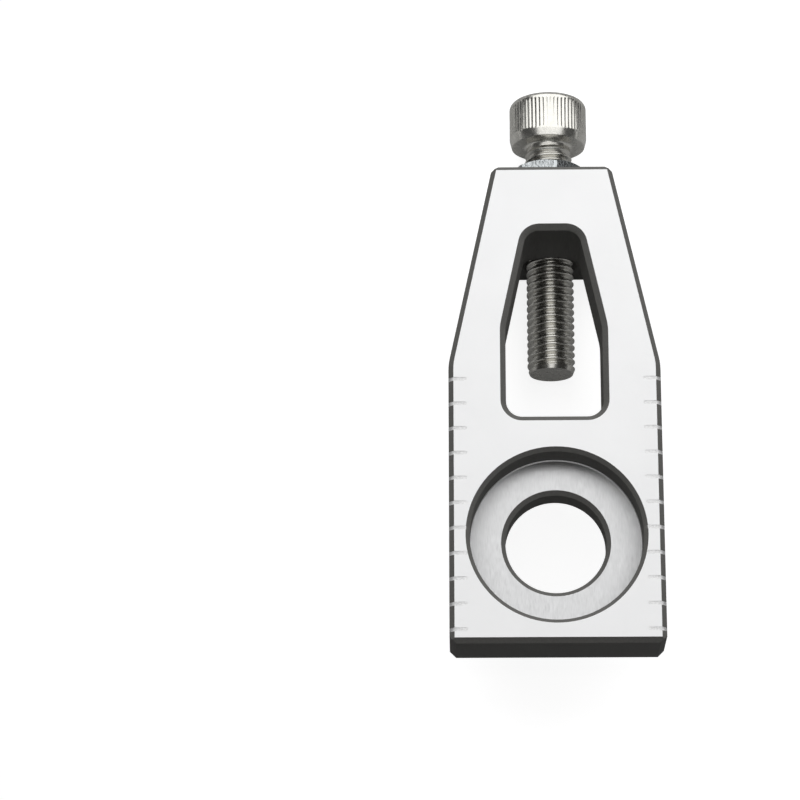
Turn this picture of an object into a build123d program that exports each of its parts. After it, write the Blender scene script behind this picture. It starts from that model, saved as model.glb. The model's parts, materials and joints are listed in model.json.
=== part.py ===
from build123d import *
from math import atan2, cos, pi, radians, tan
import os

# Chain adjuster for a motorcycle's rear axle: a machined block that sits against the end of a
# swingarm, the screw that pushes it back and the nut that locks the screw.
# Millimetres. The origin is on the axle axis at the block's back face. +Z points out of the front
# face and +Y along the block, towards the screw's head.

# Block, seen from the front
block_width = 34.0
axle_to_bottom = 17.5
axle_to_taper = 28.5
axle_to_top = 62.5
top_width = 19.4
corner_chamfer = 1.0
taper_blend = 10.0

# Block, seen from the side
plate_thickness = 10.8
lug_length = 10.9
lug_depth = 14.3
lug_fillet = 5.0
front_chamfer = 0.8
edge_break = 0.3

# Axle bore and the washer seat around it
axle_diameter = 16.0
axle_clearance = 0.05
bore_chamfer = 0.7
bore_back_break = 0.3
seat_wall = 3.25
seat_depth = 5.5
seat_chamfer = 0.65

# Window between the seat and the lug
bridge_width = 5.9
rail_width = 9.2
taper_rail_width = 7.7
window_radius = 2.6
window_blend = 8.0
window_chamfer = 0.9
window_step = 0.2

# Scale marks engraved on both long edges
mark_count = 11
mark_pitch = 4.12
first_mark = 2.1
mark_length = 2.1
mark_width = 0.6
mark_depth = 0.05

# Adjusting screw, with its thread left smooth
screw_diameter = 7.9
screw_play = 0.05
screw_length = 40.5
screw_behind_back = 7.5
tip_chamfer = 0.4
neck_length = 4.0
neck_fillet = 0.6
head_diameter = 13.0
head_height = 8.0
head_round = 1.2
bearing_diameter = 12.3
bearing_taper_height = 1.4
knurl_from_bearing = 1.45
knurl_from_top = 1.4
knurl_count = 60
knurl_depth = 0.14
knurl_land = 0.12
socket_width = 6.0
socket_depth = 5.0
socket_point = 0.8
socket_mouth_diameter = 7.2
socket_mouth_depth = 0.35

# Lock nut
nut_width = 11.0
nut_height = 6.5
nut_corner_round = 0.6
nut_face_diameter = 10.3
nut_chamfer_angle = 30.0
nut_countersink = 0.5
nut_turn = 40.0
hole_countersink = 0.6

# Places that follow from the sizes above
bore_radius = axle_diameter / 2 + axle_clearance
seat_diameter = block_width - 2 * seat_wall
seat_floor = plate_thickness - seat_depth
lug_underside = axle_to_top - lug_length
window_bottom = seat_diameter / 2 + bridge_width
window_top = lug_underside - window_step
taper_angle = atan2((block_width - top_width) / 2, axle_to_top - axle_to_taper)
screw_radius = screw_diameter / 2
hole_radius = screw_radius + screw_play
nut_top = axle_to_top + nut_height
head_bearing = nut_top + neck_length
screw_axis = Plane(origin=(0, 0, -screw_behind_back), x_dir=(1, 0, 0), z_dir=(0, 1, 0))
hexagon_sides = 6
past = 1.0  # how far a cut runs past the face it opens


def circles_of(solid, radius):
    """The solid's round edges of one radius."""
    tolerance = 1e-6
    return solid.edges().filter_by(GeomType.CIRCLE).filter_by(
        lambda edge: abs(edge.radius - radius) < tolerance)


def facing(solid, direction):
    """The solid's flat faces that look one way."""
    nearly_one = 0.999
    return solid.faces().filter_by(GeomType.PLANE).filter_by(
        lambda face: face.normal_at().dot(direction) > nearly_one)


def border(faces):
    """The edges round a group of faces, without the ones two of them share."""
    edges = ShapeList(edge for face in faces for edge in face.edges())
    return edges.filter_by(lambda edge: sum(edge.is_same(other) for other in edges) == 1)


def taper_half_width(y):
    """Half the block's width at height y on its tapered stretch."""
    return block_width / 2 - (y - axle_to_taper) * tan(taper_angle)


def block_outline():
    """The block seen from the front, with sharp corners."""
    half, top = block_width / 2, top_width / 2
    right = [(half, -axle_to_bottom), (half, axle_to_taper), (top, axle_to_top)]
    left = [(-x, y) for x, y in reversed(right)]
    outline = make_face(Polyline(*right, *left, close=True))
    return fillet(outline.vertices().group_by(Axis.Y)[1], taper_blend)


def trimmed_outline():
    """The same outline with its four corners cut."""
    outline = block_outline()
    rows = outline.vertices().group_by(Axis.Y)
    return chamfer(rows[0] + rows[-1], corner_chamfer)


def window_outline():
    half = block_width / 2 - rail_width
    slant = taper_rail_width / cos(taper_angle)
    kink = axle_to_taper + (rail_width - slant) / tan(taper_angle)
    top = taper_half_width(window_top) - slant
    right = [(half, window_bottom), (half, kink), (top, window_top)]
    left = [(-x, y) for x, y in reversed(right)]
    outline = make_face(Polyline(*right, *left, close=True))
    outline = fillet(outline.vertices().group_by(Axis.Y)[1], window_blend)
    rows = outline.vertices().group_by(Axis.Y)
    return fillet(rows[0] + rows[-1], window_radius)


def blank():
    """The L-shaped block with its lug and broken edges, before any hole."""
    outline = block_outline()
    lug_strip = Pos(0, lug_underside) * Rectangle(
        2 * block_width, 2 * axle_to_top, align=(Align.CENTER, Align.MIN))
    solid = extrude(outline, plate_thickness) + extrude(outline & lug_strip, -lug_depth)
    plate_back = facing(solid, Vector(0, 0, -1)).sort_by(Axis.Z)[-1]
    solid = fillet(plate_back.edges().sort_by(Axis.Y)[-1], lug_fillet)
    front = solid.faces().sort_by(Axis.Z)[-1]
    solid = chamfer(front.outer_wire().edges(), front_chamfer)
    solid &= extrude(trimmed_outline(), plate_thickness) + extrude(trimmed_outline(), -lug_depth)

    lug_back, plate_back = facing(solid, Vector(0, 0, -1)).sort_by(Axis.Z)
    under_lug = facing(solid, Vector(0, -1, 0)).sort_by(Axis.Z)[0]
    inside_blend = solid.faces().filter_by(GeomType.CYLINDER).sort_by(Axis.Z)[0]
    back_rim = border([plate_back, inside_blend, under_lug])
    lug_rim = lug_back.edges().sort_by(Axis.Y)[1:]  # the lowest one is in the back rim already
    return chamfer(back_rim + lug_rim, edge_break)


def mark_cutter(side, y):
    """Cuts one scale mark: a shallow groove on the face that runs on down the chamfer."""
    edge = block_width / 2
    face_edge = edge - front_chamfer
    inner = face_edge - mark_length
    top = plate_thickness + past
    floor = plate_thickness - mark_depth
    chamfer_slope = radians(45)
    corner_shift = mark_depth * tan(chamfer_slope / 2)
    section = Polyline(
        (inner, top), (inner, floor), (face_edge - corner_shift, floor),
        (edge - corner_shift + past, floor - front_chamfer - past), (edge + 2 * past, top), close=True)
    groove = extrude(Plane.XZ * make_face(section), mark_width / 2, both=True)
    reach = mark_length + front_chamfer + 2 * past
    slot = SlotCenterToCenter(reach, mark_width)
    groove &= Pos(inner + (reach + mark_width) / 2, 0) * extrude(slot, top)
    if side < 0:
        groove = mirror(groove, about=Plane.YZ)
    return Pos(0, y, 0) * groove


def adjuster_block():
    solid = blank()

    window_cut = extrude(window_outline(), plate_thickness + past)
    window_cut += extrude(window_outline(), -lug_depth - past)
    solid -= window_cut
    front = solid.faces().sort_by(Axis.Z)[-1]
    solid = chamfer(front.inner_wires().edges(), window_chamfer)

    solid -= Pos(0, 0, seat_floor) * Cylinder(
        seat_diameter / 2, seat_depth + past, align=(Align.CENTER, Align.CENTER, Align.MIN))
    solid -= Pos(0, 0, -past) * Cylinder(
        bore_radius, plate_thickness, align=(Align.CENTER, Align.CENTER, Align.MIN))
    solid = chamfer(circles_of(solid, seat_diameter / 2).sort_by(Axis.Z)[-1], seat_chamfer)
    solid = chamfer(circles_of(solid, bore_radius).sort_by(Axis.Z)[-1], bore_chamfer)
    solid = chamfer(circles_of(solid, bore_radius).sort_by(Axis.Z)[0], bore_back_break)

    solid -= screw_axis * Pos(0, 0, lug_underside - past) * Cylinder(
        hole_radius, lug_length + 2 * past, align=(Align.CENTER, Align.CENTER, Align.MIN))
    sink_radius = hole_radius + hole_countersink
    sink = Cone(sink_radius + past, hole_radius, hole_countersink + past,
                align=(Align.CENTER, Align.CENTER, Align.MIN))
    solid -= screw_axis * Pos(0, 0, lug_underside - past) * sink
    solid -= screw_axis * Pos(0, 0, axle_to_top + past) * Rot(180, 0, 0) * sink

    for row in range(mark_count):
        height = first_mark - axle_to_bottom + row * mark_pitch
        solid -= mark_cutter(1, height)
        solid -= mark_cutter(-1, height)
    return solid


def adjusting_screw():
    head = head_diameter / 2
    top = head_height
    tip = -screw_length
    neck = screw_radius + neck_fillet
    profile = Polyline(
        (0, tip), (screw_radius - tip_chamfer, tip), (screw_radius, tip + tip_chamfer),
        (screw_radius, -neck_fillet), (neck, 0), (bearing_diameter / 2, 0),
        (head, bearing_taper_height), (head, top), (0, top), close=True)
    section = make_face(Plane.XZ * profile)
    solid = revolve(section, Axis.Z)
    top_edge = solid.edges().filter_by(GeomType.CIRCLE).sort_by(Axis.Z)[-1]
    solid = fillet(top_edge, head_round)

    groove_height = head_height - knurl_from_bearing - knurl_from_top
    groove_width = pi * head_diameter / knurl_count - knurl_land
    spread = groove_width / 2 * (1 + past / knurl_depth)
    groove_section = Polyline(
        (head - knurl_depth, 0), (head + past, spread), (head + past, -spread), close=True)
    groove = Pos(0, 0, knurl_from_bearing) * extrude(make_face(groove_section), groove_height)
    solid -= PolarLocations(0, knurl_count) * groove

    socket_floor = top - socket_depth
    socket = RegularPolygon(socket_width / 2, hexagon_sides, major_radius=False)
    solid -= Pos(0, 0, socket_floor) * extrude(socket, socket_depth + past)
    solid -= Pos(0, 0, socket_floor - socket_point) * Cone(
        0, socket_width / 2, socket_point, align=(Align.CENTER, Align.CENTER, Align.MIN))
    solid -= Pos(0, 0, top) * Cone(
        socket_width / 2, socket_mouth_diameter / 2, socket_mouth_depth,
        align=(Align.CENTER, Align.CENTER, Align.MAX))
    return screw_axis * Pos(0, 0, head_bearing) * solid


def lock_nut():
    corner = nut_width / 2 / cos(pi / hexagon_sides)
    face = nut_face_diameter / 2
    hexagon = RegularPolygon(nut_width / 2, hexagon_sides, major_radius=False)
    solid = extrude(fillet(hexagon.vertices(), nut_corner_round), nut_height)
    rise = (corner - face) * tan(radians(nut_chamfer_angle))
    barrel = Polyline(
        (0, 0), (face, 0), (corner, rise), (corner, nut_height - rise),
        (face, nut_height), (0, nut_height), close=True)
    solid &= revolve(make_face(Plane.XZ * barrel), Axis.Z)
    solid -= Cylinder(hole_radius, nut_height, align=(Align.CENTER, Align.CENTER, Align.MIN))
    solid = chamfer(circles_of(solid, hole_radius), nut_countersink)
    return screw_axis * Pos(0, 0, axle_to_top) * Rot(0, 0, nut_turn) * solid


os.makedirs("parts", exist_ok=True)
for piece in (adjuster_block, adjusting_screw, lock_nut):
    export_step(piece(), f"parts/{piece.__name__}.step")
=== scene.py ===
import json
from math import atan2, cos, pi, radians, sin, sqrt

import bmesh
import bpy
from mathutils import Matrix, Vector


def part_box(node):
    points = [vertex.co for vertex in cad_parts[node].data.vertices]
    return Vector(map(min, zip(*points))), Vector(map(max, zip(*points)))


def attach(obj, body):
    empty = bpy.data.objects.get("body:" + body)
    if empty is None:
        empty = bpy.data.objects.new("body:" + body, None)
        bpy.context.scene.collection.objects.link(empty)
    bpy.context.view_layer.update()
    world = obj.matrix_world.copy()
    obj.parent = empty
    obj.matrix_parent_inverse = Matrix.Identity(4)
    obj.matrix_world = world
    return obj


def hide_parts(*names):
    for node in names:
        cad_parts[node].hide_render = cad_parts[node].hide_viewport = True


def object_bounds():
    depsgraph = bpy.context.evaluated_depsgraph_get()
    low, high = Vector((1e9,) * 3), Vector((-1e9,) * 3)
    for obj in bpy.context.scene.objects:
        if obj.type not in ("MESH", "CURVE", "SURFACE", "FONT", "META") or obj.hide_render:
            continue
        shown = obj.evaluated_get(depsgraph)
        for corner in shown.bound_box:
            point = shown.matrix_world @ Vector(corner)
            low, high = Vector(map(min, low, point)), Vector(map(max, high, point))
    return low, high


# A motorcycle chain adjuster: the anodised block with its bared silver face, the threaded and
# knurled screw and the zinc plated lock nut. The sizes below are millimetres in the CAD frame:
# +Z out of the block's face, +Y along the block towards the screw's head.

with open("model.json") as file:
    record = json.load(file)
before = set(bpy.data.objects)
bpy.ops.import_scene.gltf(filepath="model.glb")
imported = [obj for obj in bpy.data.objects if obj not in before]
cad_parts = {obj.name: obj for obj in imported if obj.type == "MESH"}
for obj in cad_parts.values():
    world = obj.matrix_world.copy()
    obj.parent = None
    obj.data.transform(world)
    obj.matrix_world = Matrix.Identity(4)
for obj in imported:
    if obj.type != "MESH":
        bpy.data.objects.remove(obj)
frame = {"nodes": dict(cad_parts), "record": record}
cad_low, cad_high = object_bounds()
MM = 0.001

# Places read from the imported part
mounts = {mount["name"]: mount for mount in frame["record"]["mounts"]}
screw_low, screw_high = (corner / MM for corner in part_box("adjusting_screw"))
plate_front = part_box("adjuster_block")[1].z / MM
seat_floor = mounts["axle_nut_seat"]["pos_m"][2] / MM
screw_behind = mounts["screw_tip"]["pos_m"][2] / MM
screw_tip = screw_low.y
head_top = screw_high.y

# Screw's thread: M8, faded out at the chamfered tip and at the neck under the head
thread_radius = 3.95
thread_pitch = 1.25
thread_steps = 120
thread_start = 0.5
spare_turns = 2
tip_radius = 3.6
tip_chamfer = 0.85
tip_fade = 0.9
runout_radius = 3.72
runout_fade = 1.6
neck_round = 0.5
neck_radius = runout_radius + neck_round

# Half a pitch of thread, from crest to root, as (distance along the axis, depth)
half_thread = [
    (0.0, 0.0), (0.09, 0.004), (0.145, 0.03), (0.19, 0.09),
    (0.43, 0.5), (0.5, 0.57), (0.56, 0.595), (0.625, 0.6)]

# Screw's head: a knurled cap with a hexagon socket
head_radius = 6.5
head_height = 8.0
head_round = 1.2
head_round_steps = 8
head_bearing = head_top - head_height
bearing_radius = 6.15
bearing_taper = 1.35
bearing_steps = 2 * thread_steps
head_steps = 2 * bearing_steps
rim_edge = 0.1
rim_bulge = 0.02
rim_rise = 0.07
band_inset = 0.03
knurl_count = 60
knurl_from_bearing = 1.45
knurl_from_top = 1.4
knurl_depth = 0.14
knurl_sharpness = 1.15
knurl_runout = 0.2
socket_width = 6.0
socket_depth = 5.0
socket_point = 0.8
socket_drill_radius = 2.9
socket_mouth_radius = 3.6
socket_mouth_depth = 0.35
hexagon_sides = 6
crease_angle = radians(38)

# Softened copies of the CAD solids
weld = 1e-4
flat_angle = radians(0.2)
edge_angle = radians(25)
block_edge = 0.06
nut_edge = 0.12
edge_segments = 2
seat_foot_round = 0.2
seat_foot_segments = 3
round_profile = 0.5
flat_face_weight = 100

# The block's material slots, and how its faces are told apart
anodised, bare, brushed, engraved = range(4)
nearly = 0.01
level = 0.001
mark_reach = 0.3
mark_wall_area = 0.6

# Camera, as found from the photograph's edges
camera_place = Vector((-14.43, -136.87, 500.61))
camera_tilt = radians(18.0)
camera_pan = radians(1.147)
camera_roll = radians(-0.335)
camera_lens = 145.1
camera_sensor = 36.0
camera_clip = 0.01

# Surroundings: how bright they look to the camera, the light that they give from all round, and how bright
# they look in metal at the sides and towards the block's bottom end: a painted reflection, bright towards
# that end, and painted shade at the sides. The last line gives how far a direction points along Y where
# that end is at its brightest, and where it has faded out.
studio_white = 0.94
studio_ambient = 0.05
side_glint = 0.03
end_glint = 0.75
end_glint_full, end_glint_gone = -0.9, -0.55


# Shader helpers

def add_node(tree, kind, inputs=None, **settings):
    """Adds a shader node, with its settings, and its inputs as values or as links from sockets."""
    node = tree.nodes.new("ShaderNode" + kind)
    for name, value in settings.items():
        setattr(node, name, value)
    for name, value in (inputs or {}).items():
        if isinstance(value, bpy.types.NodeSocket):
            tree.links.new(value, node.inputs[name])
        else:
            node.inputs[name].default_value = value
    return node


def calculate(tree, operation, *values):
    """A sum on numbers or sockets."""
    return add_node(tree, "Math", dict(enumerate(values)), operation=operation).outputs[0]


def new_material(name, colour, metallic, roughness, **plain):
    """A material with its plain values set on the shader. Returns it, its tree and its shader."""
    material = bpy.data.materials.new(name)
    material.use_nodes = True
    tree = material.node_tree
    shader = tree.nodes["Principled BSDF"]
    shader.inputs["Base Color"].default_value = (*colour, 1)
    shader.inputs["Metallic"].default_value = metallic
    shader.inputs["Roughness"].default_value = roughness
    for socket, value in plain.items():
        shader.inputs[socket.replace("_", " ")].default_value = value
    return material, tree, shader


def millimetres(tree, stretch=(1, 1, 1)):
    """The object's own coordinates in millimetres, stretched for grain."""
    place = add_node(tree, "TexCoord").outputs["Object"]
    scale = [factor / MM for factor in stretch]
    return add_node(tree, "Mapping", {"Vector": place, "Scale": scale}).outputs["Vector"]


def noise(tree, place, scale, detail=2.0):
    return add_node(tree, "TexNoise", {"Vector": place, "Scale": scale, "Detail": detail}).outputs["Fac"]


def spread(tree, value, low, high, start=0.3, end=0.7):
    """Maps values from start to end onto those from low to high. A noise's useful middle is the default."""
    limits = {"From Min": start, "From Max": end, "To Min": low, "To Max": high}
    return add_node(tree, "MapRange", {"Value": value, **limits}).outputs["Result"]


def vary_colour(tree, shader, colour, pattern, low, high):
    """Makes a colour darker and lighter with a pattern, by a factor from low to high."""
    factor = spread(tree, pattern, low, high)
    tint = add_node(tree, "VectorMath", {0: colour, 1: factor}, operation="MULTIPLY")
    tree.links.new(tint.outputs["Vector"], shader.inputs["Base Color"])


def vary_roughness(tree, shader, pattern, low, high):
    tree.links.new(spread(tree, pattern, low, high), shader.inputs["Roughness"])


def add_bump(tree, shader, height, distance):
    bump = add_node(tree, "Bump", {"Height": height, "Distance": distance * MM, "Strength": 1.0})
    tree.links.new(bump.outputs["Normal"], shader.inputs["Normal"])


def strength_by_ray(tree, seen, mirrored, ambient=0.0):
    """A glow's strength: as the camera sees it, as metal and glass show it, and what it gives all round."""
    path = add_node(tree, "LightPath").outputs
    rays = calculate(tree, "MAXIMUM", path["Is Glossy Ray"], path["Is Transmission Ray"])
    shown = calculate(tree, "MULTIPLY_ADD", rays, mirrored, ambient)
    return calculate(tree, "MULTIPLY_ADD", path["Is Camera Ray"], seen, shown)


# Materials

def face_material():
    """The block's bared front: fine matte silver."""
    colour = (0.84, 0.842, 0.845)
    material, tree, shader = new_material("bare_face", colour, metallic=0.5, roughness=0.55)
    place = millimetres(tree)
    clouds = noise(tree, place, scale=0.09)
    vary_colour(tree, shader, colour, clouds, low=0.985, high=1.015)
    grain = noise(tree, place, scale=9.0)
    vary_roughness(tree, shader, grain, low=0.5, high=0.6)
    add_bump(tree, shader, grain, distance=0.006)
    return material


def seat_material():
    """The washer seat's floor: brushed silver with its grain along the block."""
    colour = (0.56, 0.562, 0.565)
    material, tree, shader = new_material(
        "brushed_seat", colour, metallic=1.0, roughness=0.42, Anisotropic=0.8)
    strokes = noise(tree, millimetres(tree, stretch=(1.0, 0.1, 1.0)), scale=9.0, detail=4.0)
    vary_colour(tree, shader, colour, strokes, low=0.96, high=1.03)
    vary_roughness(tree, shader, strokes, low=0.48, high=0.36)
    add_bump(tree, shader, strokes, distance=0.006)
    tangent = add_node(tree, "Tangent", direction_type="UV_MAP", uv_map="grain")
    tree.links.new(tangent.outputs["Tangent"], shader.inputs["Tangent"])
    return material


def anodised_material():
    """Dark grey anodising on everything that was machined before it was dyed."""
    colour = (0.152, 0.15, 0.143)
    material, tree, shader = new_material(
        "dark_anodised", colour, metallic=0.0, roughness=0.66, Specular_IOR_Level=0.06)
    streaks = noise(tree, millimetres(tree, stretch=(1.0, 1.0, 0.08)), scale=4.0, detail=4.0)
    vary_colour(tree, shader, colour, streaks, low=0.93, high=1.07)
    vary_roughness(tree, shader, streaks, low=0.6, high=0.72)
    add_bump(tree, shader, streaks, distance=0.006)
    return material


def mark_material():
    """Scale marks, engraved through the anodising into bright metal."""
    colour = (0.8, 0.8, 0.8)
    material, tree, shader = new_material("engraved_mark", colour, metallic=0.5, roughness=0.6)
    hatch = noise(tree, millimetres(tree, stretch=(1.0, 2.0, 1.0)), scale=3.0, detail=4.0)
    vary_colour(tree, shader, colour, hatch, low=0.85, high=1.12)
    add_bump(tree, shader, hatch, distance=0.02)
    return material


def steel_material(name, colour, smoothest, roughest):
    """The screw's stainless steel, brighter on its head than on its thread. The thread's darker copy is
    painted shade.
    """
    material, tree, shader = new_material(name, colour, metallic=1.0, roughness=smoothest)
    place = millimetres(tree)
    smudges = noise(tree, place, scale=0.8, detail=3.0)
    vary_colour(tree, shader, colour, smudges, low=0.92, high=1.06)
    vary_roughness(tree, shader, smudges, low=smoothest, high=roughest)
    add_bump(tree, shader, noise(tree, place, scale=6.0, detail=3.0), distance=0.006)
    return material


def zinc_material():
    """The nut's bluish zinc plate."""
    colour = (0.43, 0.452, 0.46)
    material, tree, shader = new_material("zinc_plate", colour, metallic=1.0, roughness=0.14)
    streaks = noise(tree, millimetres(tree, stretch=(1.0, 0.5, 1.0)), scale=3.0, detail=4.0)
    vary_colour(tree, shader, colour, streaks, low=0.7, high=1.25)
    vary_roughness(tree, shader, streaks, low=0.08, high=0.2)
    add_bump(tree, shader, streaks, distance=0.06)
    return material


# Block and nut: the CAD solids with softened edges

def softened(node, name, edge_width, prepare):
    """A copy of a CAD node with its flat faces in one piece and its edges rounded a little.
    prepare paints the faces and returns the ones whose edges stay as they are."""
    bm = bmesh.new()
    bm.from_mesh(frame["nodes"][node].data)
    bmesh.ops.remove_doubles(bm, verts=bm.verts, dist=weld * MM)
    bmesh.ops.dissolve_limit(bm, angle_limit=flat_angle, verts=bm.verts, edges=bm.edges)
    bm.normal_update()
    left_sharp = {edge for face in prepare(bm) for edge in face.edges}
    sharp = [e for e in bm.edges if e not in left_sharp and e.calc_face_angle(0) > edge_angle]
    bmesh.ops.bevel(bm, geom=sharp, offset=edge_width * MM, segments=edge_segments,
                    profile=round_profile, affect="EDGES", clamp_overlap=True)
    for face in bm.faces:
        face.smooth = True
    mesh = bpy.data.meshes.new(name)
    bm.to_mesh(mesh)
    bm.free()
    piece = bpy.data.objects.new(name, mesh)
    bpy.context.scene.collection.objects.link(piece)
    piece.modifiers.new("even_shading", "WEIGHTED_NORMAL").weight = flat_face_weight
    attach(piece, node)
    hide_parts(node)
    return piece


def paint_block(bm):
    """Tells the bared face, the seat's floor and the engraved marks from the anodised rest."""
    for face in bm.faces:
        height = face.verts[0].co.z / MM
        face.material_index = anodised
        if face.normal.z > 1 - nearly:
            if height > plate_front - nearly:
                face.material_index = bare
            elif height > plate_front - mark_reach:
                face.material_index = engraved
            elif abs(height - seat_floor) < nearly:
                face.material_index = brushed
    slopes = [f for f in bm.faces
              if abs(abs(f.normal.x) - f.normal.z) < nearly and abs(f.normal.y) < level]
    offsets = {face: face.normal.dot(face.verts[0].co) / MM for face in slopes}
    chamfer_plane = max(offsets.values())
    for face, offset in offsets.items():
        if nearly < chamfer_plane - offset < mark_reach:
            face.material_index = engraved
    floors = [f for f in bm.faces if f.material_index == engraved]
    for edge in {edge for face in floors for edge in face.edges}:
        for wall in edge.link_faces:
            if abs(wall.normal.z) < nearly and wall.calc_area() < mark_wall_area * MM * MM:
                wall.material_index = engraved


def prepare_block(bm):
    """Paints the block and rounds the seat's foot. The engraved marks stay as they are."""
    paint_block(bm)
    foot = [e for e in bm.edges if {f.material_index for f in e.link_faces} == {brushed, anodised}
            and not e.is_convex]
    bmesh.ops.bevel(bm, geom=foot, offset=seat_foot_round * MM, segments=seat_foot_segments,
                    profile=round_profile, affect="EDGES", material=brushed)
    return [face for face in bm.faces if face.material_index == engraved]


def make_block():
    block = softened("adjuster_block", "block_body", block_edge, prepare_block)
    for material in (anodised_material(), face_material(), seat_material(), mark_material()):
        block.data.materials.append(material)
    grain = block.data.uv_layers.new(name="grain")
    for loop in block.data.loops:
        place = block.data.vertices[loop.vertex_index].co / MM
        grain.data[loop.index].uv = (place.x, place.y)


def make_nut():
    nut = softened("lock_nut", "nut_body", nut_edge, lambda bm: [])
    nut.data.materials.append(zinc_material())


# Screw: a turned head with its knurl and socket, and a rolled thread, in one skin

def round_axis(radius, angle, height):
    """A point at a distance and angle round the screw's axis, at a height along it, in metres."""
    return Vector((radius * sin(angle), height, screw_behind + radius * cos(angle))) * MM


def smooth_step(value):
    value = min(max(value, 0.0), 1.0)
    return value * value * (3 - 2 * value)


def add_ring(bm, steps, radius, height):
    """A ring of points. The radius and the height are numbers or functions of the angle."""
    points = []
    for step in range(steps):
        angle = 2 * pi * step / steps
        r = radius(angle) if callable(radius) else radius
        y = height(angle) if callable(height) else height
        points.append(bm.verts.new(round_axis(r, angle, y)))
    return points


def open_ring(bm, height):
    """The points of the open edge at a height, in order round the screw's axis."""
    def angle(point):
        return (2 * pi + atan2(point.co.x, point.co.z - screw_behind * MM)) % (2 * pi)

    edge = [v for v in bm.verts if abs(v.co.y / MM - height) < weld and v.is_boundary]
    return sorted(edge, key=angle)


def join_rings(bm, lower, upper):
    """Faces between two rings. The upper one has as many points as the lower one, or twice as many."""
    steps = len(lower)
    for step in range(steps):
        after = (step + 1) % steps
        if len(upper) == steps:
            bm.faces.new((lower[step], lower[after], upper[after], upper[step]))
        else:
            left, middle, right = upper[2 * step], upper[2 * step + 1], upper[2 * after]
            bm.faces.new((lower[step], middle, left))
            bm.faces.new((lower[step], lower[after], middle))
            bm.faces.new((lower[after], right, middle))


def close_ring(bm, ring, height, facing_tip):
    """A fan of faces from a ring to a point on the axis, which faces the screw's tip or its head."""
    centre = bm.verts.new(round_axis(0, 0, height))
    for step, point in enumerate(ring):
        after = ring[(step + 1) % len(ring)]
        bm.faces.new((centre, after, point) if facing_tip else (centre, point, after))


def thread_profile():
    """One pitch of thread as (distance along the axis, depth), from crest to crest."""
    other = [(thread_pitch - along, depth) for along, depth in reversed(half_thread[1:-1])]
    return half_thread + other


def thread_point_radius(height, depth):
    """The screw's radius at a height, for a depth in the thread: full, or faded out at its two ends."""
    from_tip = height - screw_tip
    from_head = head_bearing - height
    full = smooth_step(from_tip / tip_fade) * smooth_step((from_head - neck_round) / runout_fade)
    plain = thread_radius if from_tip < from_head else runout_radius
    radius = plain + (thread_radius - depth - plain) * full
    if from_tip < tip_chamfer:
        radius = min(radius, tip_radius + (thread_radius - tip_radius) * from_tip / tip_chamfer)
    if from_head < neck_round:
        radius += neck_round - sqrt(neck_round ** 2 - (neck_round - from_head) ** 2)
    return radius


def add_thread(bm):
    """The threaded shank, as rows that follow the helix and are cut flat at the tip and the head."""
    profile = thread_profile()
    turns = int((head_bearing - screw_tip) / thread_pitch) + 2 * spare_turns
    first = screw_tip - spare_turns * thread_pitch + thread_start
    rows = []
    for turn in range(turns):
        for along, depth in profile:
            row = []
            for step in range(thread_steps + 1):
                angle = 2 * pi * step / thread_steps
                height = first + (turn + step / thread_steps) * thread_pitch + along
                height = min(max(height, screw_tip), head_bearing)
                radius = thread_point_radius(height, depth)
                row.append(bm.verts.new(round_axis(radius, angle, height)))
            rows.append(row)
    for lower, upper in zip(rows, rows[1:]):
        for step in range(thread_steps):
            bm.faces.new((lower[step], lower[step + 1], upper[step + 1], upper[step]))


def knurl_radius(angle):
    """The head's radius round its knurl."""
    ridge = abs(((angle * knurl_count / (2 * pi)) % 1.0) * 2 - 1)
    return head_radius - knurl_depth * (1 - ridge) ** knurl_sharpness


def hexagon_radius(angle):
    sector = 2 * pi / hexagon_sides
    return socket_width / 2 / cos((angle % sector) - sector / 2)


def socket_edge(top):
    """The height where the socket's flats meet its conical mouth, round the hexagon."""
    slope = socket_mouth_depth / (socket_mouth_radius - socket_width / 2)
    return lambda angle: top - (socket_mouth_radius - hexagon_radius(angle)) * slope


def add_head(bm, neck_ring):
    """The cap head, from the neck out over its bearing face, up the knurl and down into the socket.
    The first two rings keep the shading of the bearing face flat."""
    top = head_bearing + head_height
    knurl_low = head_bearing + knurl_from_bearing
    outline = [
        (neck_radius + rim_edge, head_bearing),
        (bearing_radius - 2 * rim_edge, head_bearing),
        (bearing_radius - rim_edge, head_bearing),
        (bearing_radius + rim_bulge, head_bearing + rim_rise),
        (head_radius - band_inset, head_bearing + bearing_taper - rim_edge),
        (head_radius, knurl_low),
        (knurl_radius, knurl_low + knurl_runout),
        (knurl_radius, top - knurl_from_top)]
    for step in range(head_round_steps + 1):
        turn = pi / 2 * step / head_round_steps
        inset = head_round * (1 - cos(turn))
        outline.append((head_radius - inset, top - head_round * (1 - sin(turn))))
    outline += [
        (socket_mouth_radius, top),
        (hexagon_radius, socket_edge(top)),
        (hexagon_radius, top - socket_depth),
        (socket_drill_radius, top - socket_depth)]
    ring = neck_ring
    for radius, height in outline:
        steps = bearing_steps if ring is neck_ring else head_steps
        following = add_ring(bm, steps, radius, height)
        join_rings(bm, ring, following)
        ring = following
    close_ring(bm, ring, top - socket_depth - socket_point, facing_tip=False)


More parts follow.
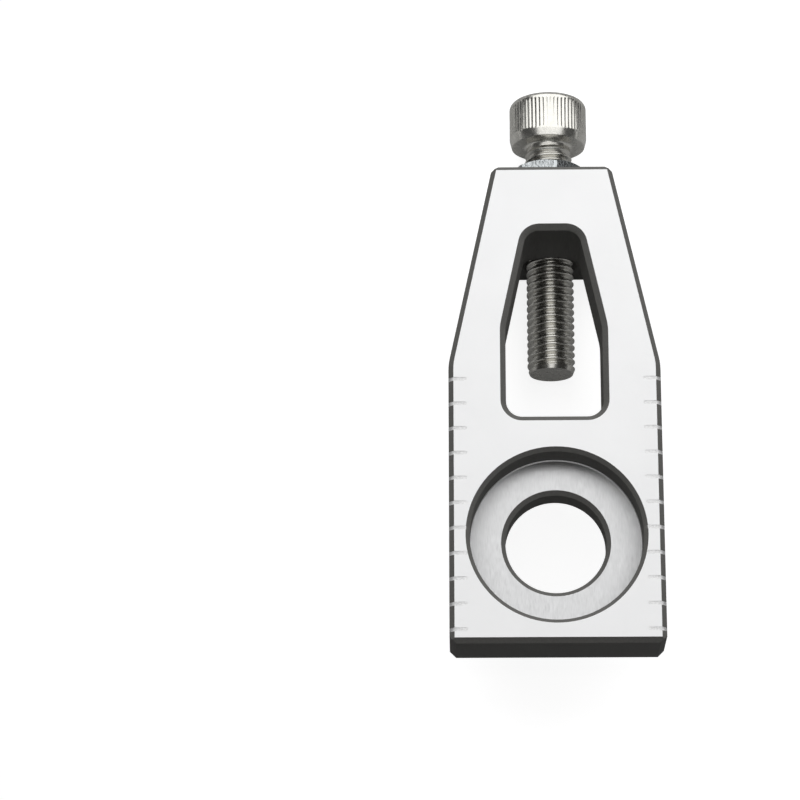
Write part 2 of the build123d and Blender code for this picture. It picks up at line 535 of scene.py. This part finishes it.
def make_screw():
    bm = bmesh.new()
    add_thread(bm)
    bmesh.ops.remove_doubles(bm, verts=bm.verts, dist=weld * MM)
    bmesh.ops.dissolve_degenerate(bm, edges=bm.edges, dist=weld * MM)
    tip_ring = open_ring(bm, screw_tip)
    neck_ring = open_ring(bm, head_bearing)
    close_ring(bm, tip_ring, screw_tip, facing_tip=True)
    add_head(bm, neck_ring)
    bmesh.ops.recalc_face_normals(bm, faces=bm.faces)
    for face in bm.faces:
        face.smooth = True
        face.material_index = int(face.calc_center_median().y / MM < head_bearing - neck_round)
    mesh = bpy.data.meshes.new("screw_detail")
    bm.to_mesh(mesh)
    bm.free()
    mesh.set_sharp_from_angle(angle=crease_angle)
    head_steel = steel_material(
        "stainless_head", (0.64, 0.63, 0.59), smoothest=0.2, roughest=0.3)
    # The thread's steel is a darker copy of the head's: painted shade.
    thread_steel_painted_shade = steel_material(
        "stainless_thread_painted_shade", (0.56, 0.55, 0.515), smoothest=0.22, roughest=0.3)
    mesh.materials.append(head_steel)
    mesh.materials.append(thread_steel_painted_shade)
    screw = bpy.data.objects.new("screw_detail", mesh)
    bpy.context.scene.collection.objects.link(screw)
    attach(screw, "adjusting_screw")
    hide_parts("adjusting_screw")


# Studio

def add_floor():
    """A plain floor that is white to the camera and takes the part's shadow. Metal shows it as dim close to
    the part, a painted shade for the shade round and under the block, and as white further away."""
    size = 6.0
    gap = 0.2
    stretch = (1.0, 0.6, 1.0)
    # Painted shade in metal: the floor's glow in metal is weak close to the part, and its matte colour
    # darkens further out.
    near, far = 40.0, 90.0
    seen_near, seen_far = 0.84, 0.97
    matte_near, matte_far = 0.45, 0.06
    mirror_near, mirror_far = 60.0, 200.0
    mirrored_painted_shade, mirrored_far = 0.04, 0.94
    mesh = bpy.data.meshes.new("floor")
    corners = [(-size, -size, 0), (size, -size, 0), (size, size, 0), (-size, size, 0)]
    mesh.from_pydata(corners, [], [(0, 1, 2, 3)])
    floor = bpy.data.objects.new("floor", mesh)
    floor.location = (cad_low + cad_high) / 2
    floor.location.z = cad_low.z - gap * MM
    bpy.context.scene.collection.objects.link(floor)
    material = bpy.data.materials.new("white_floor")
    material.use_nodes = True
    tree = material.node_tree
    tree.nodes.clear()
    length = add_node(tree, "VectorMath", {0: millimetres(tree, stretch)}, operation="LENGTH")
    distance = length.outputs["Value"]
    seen = spread(tree, distance, seen_near, seen_far, near, far)
    mirrored = spread(tree, distance, mirrored_painted_shade, mirrored_far, mirror_near, mirror_far)
    strength = strength_by_ray(tree, seen, mirrored)
    glow = add_node(tree, "Emission", {"Color": (1, 1, 1, 1), "Strength": strength})
    shade = spread(tree, distance, matte_near, matte_far, near, far)
    matte = add_node(tree, "BsdfDiffuse", {"Color": shade})
    both = add_node(tree, "AddShader", {0: glow.outputs[0], 1: matte.outputs[0]})
    output = add_node(tree, "OutputMaterial")
    tree.links.new(both.outputs[0], output.inputs["Surface"])
    mesh.materials.append(material)


def add_softbox(name, direction, distance, width, height, radiance):
    """A rectangular light that looks at the middle of the part. Its sizes are metres."""
    light = bpy.data.lights.new(name, "AREA")
    light.shape = "RECTANGLE"
    light.size = width
    light.size_y = height
    light.energy = radiance * pi * width * height
    box = bpy.data.objects.new(name, light)
    direction = Vector(direction).normalized()
    box.location = (cad_low + cad_high) / 2 + direction * distance
    box.rotation_mode = "QUATERNION"
    box.rotation_quaternion = direction.to_track_quat("Z", "Y")
    bpy.context.scene.collection.objects.link(box)


def add_lights():
    add_softbox("key_softbox", (0.1, 0.64, 0.77), distance=0.5, width=0.95, height=0.75, radiance=1.65)
    add_softbox("top_softbox", (-0.02, -0.1, 1.0), distance=0.8, width=1.0, height=0.18, radiance=1.4)
    add_softbox("fill_softbox", (-0.15, -1.0, 0.45), distance=0.7, width=0.9, height=0.4, radiance=0.04)
    add_softbox("tip_softbox", (0.0, -0.44, 0.9), distance=0.8, width=0.35, height=0.2, radiance=1.6)


def add_surroundings():
    """A world that is white to the camera. Metal shows it as bright only towards the block's bottom end, a
    painted reflection, and dim elsewhere, a painted shade.
    """
    world = bpy.data.worlds.new("studio")
    world.use_nodes = True
    tree = world.node_tree
    background = tree.nodes["Background"]
    background.inputs["Color"].default_value = (1, 1, 1, 1)
    direction = add_node(tree, "SeparateXYZ", {0: add_node(tree, "TexCoord").outputs["Generated"]})
    along = direction.outputs["Y"]
    # Painted reflection: metal sees the world bright towards the bottom end, and dim at the sides as
    # painted shade.
    mirrored = spread(tree, along, end_glint, side_glint, end_glint_full, end_glint_gone)
    strength = strength_by_ray(tree, studio_white, mirrored, studio_ambient)
    tree.links.new(strength, background.inputs["Strength"])
    bpy.context.scene.world = world


def add_camera():
    camera = bpy.data.objects.new("camera", bpy.data.cameras.new("camera"))
    camera.data.lens = camera_lens
    camera.data.sensor_width = camera_sensor
    camera.data.clip_start = camera_clip
    turn = (Matrix.Rotation(camera_tilt, 4, "X") @ Matrix.Rotation(camera_pan, 4, "Y")
            @ Matrix.Rotation(camera_roll, 4, "Z"))
    camera.matrix_world = Matrix.Translation(camera_place * MM) @ turn
    bpy.context.scene.collection.objects.link(camera)
    bpy.context.scene.camera = camera


make_block()
make_screw()
make_nut()
add_floor()
add_lights()
add_surroundings()
add_camera()
bpy.context.scene.view_settings.view_transform = "Standard"
